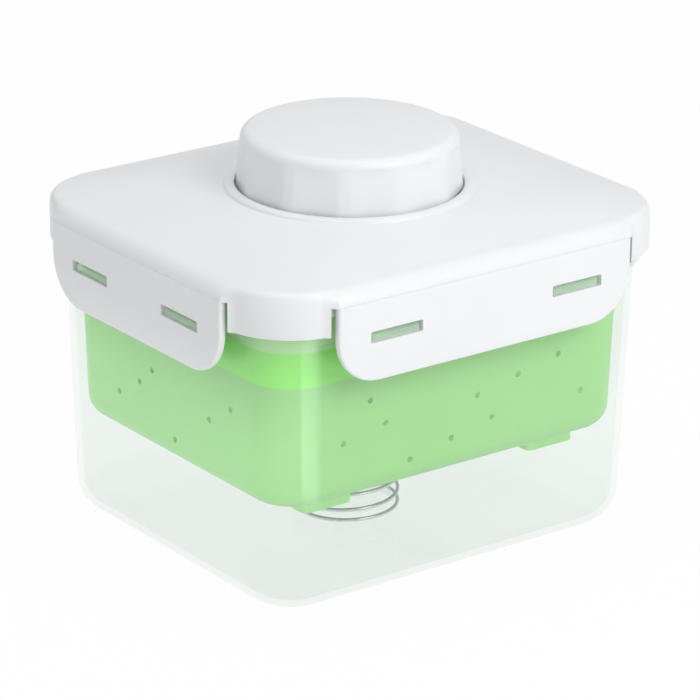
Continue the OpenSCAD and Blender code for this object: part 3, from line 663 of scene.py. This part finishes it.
def make_basket():
    shell = as_object(lofted(basket_rings()), "basket_shell")
    half_tall = (FOOT_H + FOOT_ROOT) / 2
    feet = [slab_tool("foot", (FOOT_L / 2, FOOT_W / 2, half_tall),
                      (sx * FOOT_X, sy * FOOT_Y, BASKET_Z - FOOT_H + half_tall), FOOT_CORNER_R)
            for sx in (-1, 1) for sy in (-1, 1)]
    collar_r = SEAT_R - COLLAR_T
    collar = as_object(revolved([(SEAT_R, BASKET_Z + SINK), (SEAT_R, BASKET_Z - COLLAR_H),
                                 (collar_r, BASKET_Z - COLLAR_H), (collar_r, BASKET_Z + SINK)], 64), "collar")
    combined(shell, feet + [collar], "UNION")
    combined(shell, basket_hole_tools(), "DIFFERENCE")
    shaded(shell, 40)
    shell.visible_shadow = False
    return finished(shell, "basket", "green_plastic", GREEN, "basket")


# ---------------------------------------------------------------- spring


def spring_height(turn, turns, z0, z1):
    """Height of the wire's middle: flatter end turns, and an even pitch between them."""
    if turn < 1:
        return z0 + SPRING_END_RISE * turn
    if turn < turns - 1:
        return z0 + SPRING_END_RISE + SPRING_PITCH * (turn - 1)
    return z1 - SPRING_END_RISE * (turns - turn)


def make_spring():
    """Round wire wound along the coil."""
    z0, z1 = CONTAINER_FLOOR + WIRE_R, BASKET_Z - WIRE_R
    turns = (z1 - z0 - 2 * SPRING_END_RISE) / SPRING_PITCH + 2
    count = int(turns * SPRING_STEPS)
    path = []
    for k in range(count + 1):
        turn = turns * k / count
        a = math.radians(SPRING_START + 360 * turn)
        path.append(Vector((SPRING_R * math.cos(a), SPRING_R * math.sin(a),
                            spring_height(turn, turns, z0, z1))))
    rings = []
    for k, point in enumerate(path):
        along = (path[min(k + 1, count)] - path[max(k - 1, 0)]).normalized()
        side = Vector((0, 0, 1)).cross(along).normalized()
        up = along.cross(side)
        rings.append([point + WIRE_R * (math.cos(2 * math.pi * i / WIRE_SIDES) * side
                                        + math.sin(2 * math.pi * i / WIRE_SIDES) * up)
                      for i in range(WIRE_SIDES)])
    coil = shaded(as_object(lofted(rings), "spring_coil"), 50)
    finished(coil, "container", "steel", STEEL, "spring")
    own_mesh(coil)
    return coil


# ---------------------------------------------------------------- lid


def lid_quarter(d, blend):
    """A quarter of the lid's outline, set in by d; at blend 0 the corner is behind the latch faces."""
    cx = LID_HX - CORNER_STEP - LID_CORNER_R
    cy = LID_HY - CORNER_STEP - LID_CORNER_R
    r = LID_CORNER_R - d + CORNER_STEP * blend
    last = EDGE_STEPS - 0.5
    points = [(LID_HX - d, RIGHT_HALF * (i + 0.5) / last) for i in range(EDGE_STEPS)]
    start, end = LID_CORNER_ARC
    for i in range(CORNER_STEPS + 1):
        a = math.radians(start + (end - start) * i / CORNER_STEPS)
        points.append((cx + r * math.cos(a), cy + r * math.sin(a)))
    points += [(FRONT_HALF * (i + 0.5) / last, LID_HY - d) for i in reversed(range(EDGE_STEPS))]
    return points


def lid_outline(d, blend=0.0):
    """The lid's whole outline, from a quarter and its mirror images."""
    q = lid_quarter(d, blend)
    return (q + [(-x, y) for x, y in reversed(q)] + [(-x, -y) for x, y in q]
            + [(x, -y) for x, y in reversed(q)])


def crown_ring(d, t, z0, z1):
    """A ring of the lid's crown, a share t of the way from its outline to the round lip."""
    ring = []
    for x, y in lid_outline(d, 1.0):
        p = Vector((x, y, 0))
        p = p.lerp(p.normalized() * LIP_R, t)
        p.z = z0 + (z1 - z0) * (1 - (1 - t) ** 2)
        ring.append(p)
    return ring


def lid_circle(r, z):
    """A circle with its points in the same directions as the outline's."""
    return [Vector((x, y, 0)).normalized() * r + Vector((0, 0, z)) for x, y in lid_outline(0, 1.0)]


def lid_rings():
    """Up the skirt, over the crown, round lip and recess, down the hub and back underneath."""
    edge_z = LID_EDGE_Z - LID_EDGE_R
    rings = [at_z(lid_outline(SKIRT_SOFT), SKIRT_Z), at_z(lid_outline(0.15), SKIRT_Z + 0.15),
             at_z(lid_outline(0), SKIRT_Z + SKIRT_SOFT)]
    for i in range(ROUND_STEPS + 1):
        a = math.radians(90 * i / ROUND_STEPS)
        blend = (1 - math.cos(math.pi * i / ROUND_STEPS)) / 2
        rings.append(at_z(lid_outline(LID_EDGE_R * (1 - math.cos(a)), blend),
                          edge_z + LID_EDGE_R * math.sin(a)))
    for i in range(1, CROWN_STEPS + 1):
        rings.append(crown_ring(LID_EDGE_R, i / CROWN_STEPS, LID_EDGE_Z, LID_TOP_Z))
    lip = [(LIP_R - 0.25, LIP_Z - 0.55), (LIP_R - 0.7, LIP_Z - 0.18), (LIP_R - 1.3, LIP_Z),
           (RECESS_R + 0.6, LIP_Z), (RECESS_R + 0.15, LIP_Z - 0.2), (RECESS_R, LIP_Z - 0.6),
           (RECESS_R, RECESS_Z + 0.3), (RECESS_R - 0.3, RECESS_Z), (HUB_R + 0.4, RECESS_Z),
           (HUB_R, RECESS_Z - 0.4), (HUB_R, HUB_Z + 0.3), (HUB_R + 0.3, HUB_Z),
           (HUB_R + HUB_WALL - 0.3, HUB_Z), (HUB_R + HUB_WALL, HUB_Z + 0.3),
           (HUB_R + HUB_WALL, RECESS_Z - RECESS_T - 0.6), (HUB_R + HUB_WALL + 0.6, RECESS_Z - RECESS_T),
           (LIP_R - 0.5, RECESS_Z - RECESS_T), (LIP_R, LID_TOP_Z - LID_T)]
    rings += [lid_circle(r, z) for r, z in lip]
    for i in reversed(range(CROWN_STEPS)):
        rings.append(crown_ring(CROWN_UNDER_D, i / CROWN_STEPS, LID_EDGE_Z - LID_T, LID_TOP_Z - LID_T))
    rings += [at_z(lid_outline(CHANNEL_D, 1.0), CHANNEL_Z), at_z(lid_outline(LID_T, 0), CHANNEL_Z),
              at_z(lid_outline(LID_T, 0), SKIRT_Z + 0.4), at_z(lid_outline(LID_T - 0.4, 0), SKIRT_Z)]
    return rings


def rect_ring(name, outer, inner, z0, z1):
    """A straight ring between two rounded rectangles, each (hx, hy, r)."""
    rings = [at_z(rounded_rect(*outer), z0), at_z(rounded_rect(*outer), z1),
             at_z(rounded_rect(*inner), z1), at_z(rounded_rect(*inner), z0)]
    return as_object(lofted(rings, joined=True), name)


def grown(rect, d):
    """A rounded rectangle (hx, hy, r), larger by d all round."""
    return tuple(v + d for v in rect)


def band_outline():
    """Outside of the container's rim band."""
    hx, hy = container_half(CONTAINER_H)
    return hx + BAND_T, hy + BAND_T, BAND_CORNER_R


def rim_inside():
    """Inner edge of the container's flat rim."""
    hx, hy = container_half(CONTAINER_H)
    inset = CONTAINER_WALL + RIM_SOFT
    return hx - inset, hy - inset, CONTAINER_CORNER_R - inset


def make_lid():
    lid = as_object(lofted(lid_rings(), joined=True), "lid_shell")
    depth = CORNER_STEP + LID_T + LATCH_ROOM
    tall = HINGE_Z + HINGE_GAP - SKIRT_Z + PAST
    z = HINGE_Z + HINGE_GAP - tall / 2
    rooms = []
    for s in (-1, 1):
        rooms.append(slab_tool("room", (depth / 2 + PAST, RIGHT_HALF + LATCH_GAP, tall / 2),
                               (s * (LID_HX - depth / 2 + PAST), 0, z), LATCH_ROOM_R, steps=2))
        rooms.append(slab_tool("room", (FRONT_HALF + LATCH_GAP, depth / 2 + PAST, tall / 2),
                               (0, s * (LID_HY - depth / 2 + PAST), z), LATCH_ROOM_R, steps=2))
    combined(lid, rooms, "DIFFERENCE")
    ribs = [rect_ring("rib", grown(rim_inside(), -RIB_IN[0]), grown(rim_inside(), -RIB_IN[1]),
                      BASKET_HIGH.z + RIB_OVER_BASKET, CHANNEL_Z + SINK),
            rect_ring("rib", grown(band_outline(), RIB_OUT[1]), grown(band_outline(), RIB_OUT[0]),
                      CONTAINER_H - RIB_OUT_H, CHANNEL_Z + SINK)]
    combined(lid, ribs, "UNION")
    shaded(lid, 35)
    return finished(lid, "lid", "white_plastic", WHITE, "lid")


def make_gasket():
    seal = rect_ring("seal_ring", grown(band_outline(), SEAL_OUT), rim_inside(),
                     CONTAINER_H + SEAL_GAP, CHANNEL_Z - SEAL_GAP)
    softened(seal, SEAL_SOFT, 3)
    shaded(seal, 40)
    return finished(seal, "lid", "silicone", SILICONE, "lid_gasket")


# ---------------------------------------------------------------- latches


def latch_outline(half, d):
    """A latch in its own plane, set in by d except along the fold at its top."""
    r, x, z = LATCH_CORNER_R - d, half - LATCH_CORNER_R, LATCH_Z + LATCH_CORNER_R
    top = HINGE_Z - HINGE_GAP
    points = [(half - d, top), (-half + d, top)]
    for start, sx in ((180, -1), (270, 1)):
        for i in range(2 * CORNER_STEPS + 1):
            a = math.radians(start + 45 * i / CORNER_STEPS)
            points.append((sx * x + r * math.cos(a), z + r * math.sin(a)))
    return points


def make_latch(node, half, face, slot_at, turn):
    """A slotted flap, made facing +X and then turned to its side of the lid."""
    levels = [(LATCH_T, LATCH_BACK_SOFT), (LATCH_T - 0.1, 0.1), (LATCH_T - LATCH_BACK_SOFT, 0.0),
              (LATCH_EDGE_R, 0.0)]
    for i in range(1, LATCH_EDGE_STEPS + 1):
        a = math.radians(90 * i / LATCH_EDGE_STEPS)
        levels.append((LATCH_EDGE_R * (1 - math.sin(a)), LATCH_EDGE_R * (1 - math.cos(a))))
    rings = [[Vector((face - depth, y, z)) for y, z in latch_outline(half, d)] for depth, d in levels]
    latch = as_object(lofted(rings), node + "_flap")
    slots = []
    for s in (-1, 1):
        bm = lofted([[Vector((x, s * slot_at + y, SLOT_Z + SLOT_H / 2 + z))
                      for y, z in rounded_rect(SLOT_L / 2, SLOT_H / 2, SLOT_CORNER_R, 3)]
                     for x in (face - LATCH_T - 1, face + 1)])
        slots.append(as_object(bm, "slot"))
    combined(latch, slots, "DIFFERENCE")
    latch.data.transform(Matrix.Rotation(math.radians(turn), 4, "Z"))
    shaded(latch, 35)
    return finished(latch, node, "white_plastic", WHITE, node)


# ---------------------------------------------------------------- knob


def knob_radius(base, angle, z):
    """Radius with shallow grip scallops that fade out below the rounded top edge."""
    phase = (math.degrees(angle) - SCALLOP_TURN) * SCALLOPS / 360
    near = abs(phase - round(phase)) * 2
    dip = max(0.0, 1 - (near / SCALLOP_SHARE) ** 2)
    end_z = KNOB_TOP_Z - KNOB_EDGE_R - KNOB_DOME + SCALLOP_OVER
    fade = min(1.0, max(0.0, (end_z - z) / SCALLOP_FADE))
    return base - SCALLOP_DEPTH * dip * fade * fade * (3 - 2 * fade)


def make_knob():
    """A hollow, slightly domed cap with bosses for the screws of the post."""
    top_r = KNOB_R - KNOB_TAPER
    edge_z = KNOB_TOP_Z - KNOB_DOME - KNOB_EDGE_R
    profile = [(KNOB_R - 0.4, KNOB_Z), (KNOB_R - 0.1, KNOB_Z + 0.1), (KNOB_R, KNOB_Z + 0.4)]
    for t in (0.2, 0.4, 0.6, 0.8, 0.92):
        profile.append((KNOB_R - KNOB_TAPER * t, KNOB_Z + (edge_z - KNOB_Z) * t))
    profile += arc(top_r - KNOB_EDGE_R, edge_z, KNOB_EDGE_R, 0, 84, 12)
    flat_r, flat_z = profile[-1]
    for t in (0.15, 0.35, 0.55, 0.75, 0.9, 0.985):
        profile.append((flat_r * (1 - t), flat_z + (KNOB_TOP_Z - flat_z) * (1 - (1 - t) ** 2)))
    rings = []
    for r, z in profile:
        ring = []
        for i in range(KNOB_SIDES):
            a = 2 * math.pi * i / KNOB_SIDES
            at_r = knob_radius(r, a, z)
            ring.append(Vector((at_r * math.cos(a), at_r * math.sin(a), z)))
        rings.append(ring)
    skin = as_object(lofted(rings), "knob_cap_shell")
    under_z = KNOB_TOP_Z - KNOB_DOME - KNOB_WALL
    hollow = as_object(lofted([circle(KNOB_R - KNOB_WALL, KNOB_Z - 1, 96),
                               circle(top_r - KNOB_WALL, under_z - 2, 96),
                               circle(top_r - KNOB_WALL - 2, under_z, 96)]), "hollow")
    combined(skin, [hollow], "DIFFERENCE")
    boss_top = under_z + SINK
    bosses = []
    for k in range(KNOB_BOSSES):
        a = math.radians(360 * k / KNOB_BOSSES + 90)
        at = (KNOB_BOSS_AT * math.cos(a), KNOB_BOSS_AT * math.sin(a), (KNOB_BOSS_Z + boss_top) / 2)
        bosses.append(rod_tool("boss", KNOB_BOSS_R, boss_top - KNOB_BOSS_Z, at))
    combined(skin, bosses, "UNION")
    shaded(skin, 32)
    return finished(skin, "knob", "white_plastic", WHITE, "knob_cap")


# ---------------------------------------------------------------- CAD pieces that keep their shape

KEPT = {
    "knob_post": WHITE_INSIDE,
    "knob_screws": STEEL,
    "swivel_ring": WHITE_INSIDE,
    "ring_screws": STEEL,
    "thrust_washer": SILICONE,
    "press_plate": WHITE_INSIDE,
    "press_cover": WHITE_INSIDE,
}


def dress_kept_nodes():
    """Materials for the CAD pieces that keep their shape."""
    for node, material in KEPT.items():
        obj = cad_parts[node]
        obj.data.materials.clear()
        obj.data.materials.append(material)


# ---------------------------------------------------------------- stage, light and camera

STAGE_WHITE = (0.93, 0.93, 0.93)
STAGE_HALF = 3.0                             # metres
STAGE_DROP = 0.0004                          # below the feet, in metres
STAGE_SHOWN = 0.96                           # share of plain white that a camera or a reflection gets
WORLD_LIGHT = 0.575
GLEAM_STRENGTH = 2.8
GLEAM_FROM = (-56.8, -56.9)                  # the basket's front corner, in plan
GLEAM_REACH = (80.0, 232.0)                  # from that corner to its near and far edges
GLEAM_Z = 0.8
GLEAM_ANGLES = (-14.0, 25.0)                 # degrees from the front, towards +X


def stage_material():
    """Pale floor that keeps a soft shadow, and shows white to the camera and in reflections.

    Seen from below it is clear, so that the object's underside can be looked at.
    """
    g = material_graph("stage_white")
    paint = g.add("ShaderNodeBsdfDiffuse", Color=(*STAGE_WHITE, 1))
    lit = g.add("ShaderNodeEmission", Color=(1, 1, 1, 1), Strength=1.0)
    path = g.add("ShaderNodeLightPath").outputs
    mirrored = g.calc("MAXIMUM", path["Is Glossy Ray"], path["Is Transmission Ray"])
    shown = g.calc("MAXIMUM", path["Is Camera Ray"], mirrored)
    top = g.mix(g.calc("MULTIPLY", shown, STAGE_SHOWN), paint.outputs["BSDF"], lit.outputs["Emission"])
    unseen = g.add("ShaderNodeBsdfTransparent", Color=(1, 1, 1, 1))
    below = g.add("ShaderNodeNewGeometry").outputs["Backfacing"]
    return g.surface(g.mix(below, top, unseen.outputs["BSDF"]))


def make_stage():
    bm = bmesh.new()
    bmesh.ops.create_grid(bm, x_segments=8, y_segments=8, size=STAGE_HALF)
    floor = as_object(bm, "stage_floor")
    floor.location.z = -STAGE_DROP
    floor.data.materials.append(stage_material())


def make_gleam_card():
    """A bright card on the floor that only reflections show: a soft streak on the front corner."""
    g = material_graph("gleam")
    lit = g.add("ShaderNodeEmission", Color=(1, 1, 1, 1), Strength=GLEAM_STRENGTH)
    unseen = g.add("ShaderNodeBsdfTransparent", Color=(1, 1, 1, 1))
    mirrored = g.add("ShaderNodeLightPath").outputs["Is Glossy Ray"]
    shine = g.mix(mirrored, unseen.outputs["BSDF"], lit.outputs["Emission"])
    bm = bmesh.new()
    corners = []
    for far, angle in ((0, 0), (0, 1), (1, 1), (1, 0)):
        a = math.radians(GLEAM_ANGLES[angle])
        reach = GLEAM_REACH[far]
        corners.append(bm.verts.new(Vector((GLEAM_FROM[0] + reach * math.sin(a),
                                            GLEAM_FROM[1] - reach * math.cos(a), GLEAM_Z)) * MM))
    bm.faces.new(corners)
    card = as_object(bm, "gleam_card")
    card.data.materials.append(g.surface(shine))
    card.visible_shadow = False
    card.visible_diffuse = False


def make_world():
    """Soft light from all round, with a plain white background for the camera."""
    g = Graph(bpy.data.worlds.new("studio"), "ShaderNodeOutputWorld")
    soft = g.add("ShaderNodeBackground", Color=(1, 1, 1, 1), Strength=WORLD_LIGHT)
    white = g.add("ShaderNodeBackground", Color=(1, 1, 1, 1), Strength=1.0)
    seen = g.add("ShaderNodeLightPath").outputs["Is Camera Ray"]
    bpy.context.scene.world = g.surface(g.mix(seen, soft.outputs["Background"],
                                              white.outputs["Background"]))


def area_light(name, at, aim, size, power, spread=180.0):
    """A soft lamp, in metres and watts; a size is a side, or a width and a height."""
    width, height = size if isinstance(size, tuple) else (size, size)
    data = bpy.data.lights.new(name, "AREA")
    data.shape = "RECTANGLE"
    data.size, data.size_y = width, height
    data.spread = math.radians(spread)
    data.energy = power
    lamp = bpy.data.objects.new(name, data)
    lamp.location = at
    lamp.rotation_euler = (Vector(at) - Vector(aim)).to_track_quat("Z", "Y").to_euler()
    bpy.context.scene.collection.objects.link(lamp)


def make_lights():
    """Two large lamps above, and a narrow low beam for the left wall."""
    centre = (0, 0, 0.06)
    area_light("key_right_front", (0.15, -1.05, 0.75), centre, 0.7, 6.2)
    area_light("fill_top", (-0.1, 0.1, 1.2), centre, 1.0, 3.2)
    area_light("low_left", (-0.9, 0.0, 0.042), (0, 0, 0.042), (0.5, 0.055), 0.023, spread=3.0)


# The photograph's view: azimuth, elevation and roll in degrees, distances in millimetres
VIEW_AZ, VIEW_EL, VIEW_ROLL = -36.70, 20.81, 0.50
VIEW_DISTANCE = 1239.31
VIEW_TARGET = Vector((0, 0, 60))
VIEW_SHIFT = (-0.61, 4.76)
FOCAL_PIXELS = 3966.0
FRAME_PIXELS = 700.0


def make_camera():
    """A camera fitted to the edges of lid, latches, container and knob in the photograph."""
    az, el, roll = (math.radians(v) for v in (VIEW_AZ, VIEW_EL, VIEW_ROLL))
    back = Vector((math.sin(az) * math.cos(el), -math.cos(az) * math.cos(el), math.sin(el)))
    right = Vector((math.cos(az), math.sin(az), 0))
    up = back.cross(right)
    right_r = math.cos(roll) * right + math.sin(roll) * up
    up_r = -math.sin(roll) * right + math.cos(roll) * up
    at = VIEW_TARGET - VIEW_SHIFT[0] * right_r - VIEW_SHIFT[1] * up_r + VIEW_DISTANCE * back
    data = bpy.data.cameras.new("view")
    data.sensor_width = 36.0
    data.lens = FOCAL_PIXELS * data.sensor_width / FRAME_PIXELS
    data.clip_start = 0.05
    data.clip_end = 20
    camera = bpy.data.objects.new("view", data)
    place = Matrix((right_r, up_r, back)).transposed().to_4x4()
    place.translation = at * MM
    camera.matrix_world = place
    bpy.context.scene.collection.objects.link(camera)
    bpy.context.scene.camera = camera


# ---------------------------------------------------------------- assembly

make_camera()
make_container()
make_basket()
make_spring()
make_lid()
make_gasket()
make_latch("latch_right", RIGHT_HALF, LID_HX, SLOT_RIGHT_Y, 0)
make_latch("latch_left", RIGHT_HALF, LID_HX, SLOT_RIGHT_Y, 180)
make_latch("latch_back", FRONT_HALF, LID_HY, SLOT_FRONT_X, 90)
make_latch("latch_front", FRONT_HALF, LID_HY, SLOT_FRONT_X, 270)
make_knob()
dress_kept_nodes()
make_stage()
make_gleam_card()
make_world()
make_lights()

bpy.context.scene.view_settings.view_transform = "Standard"
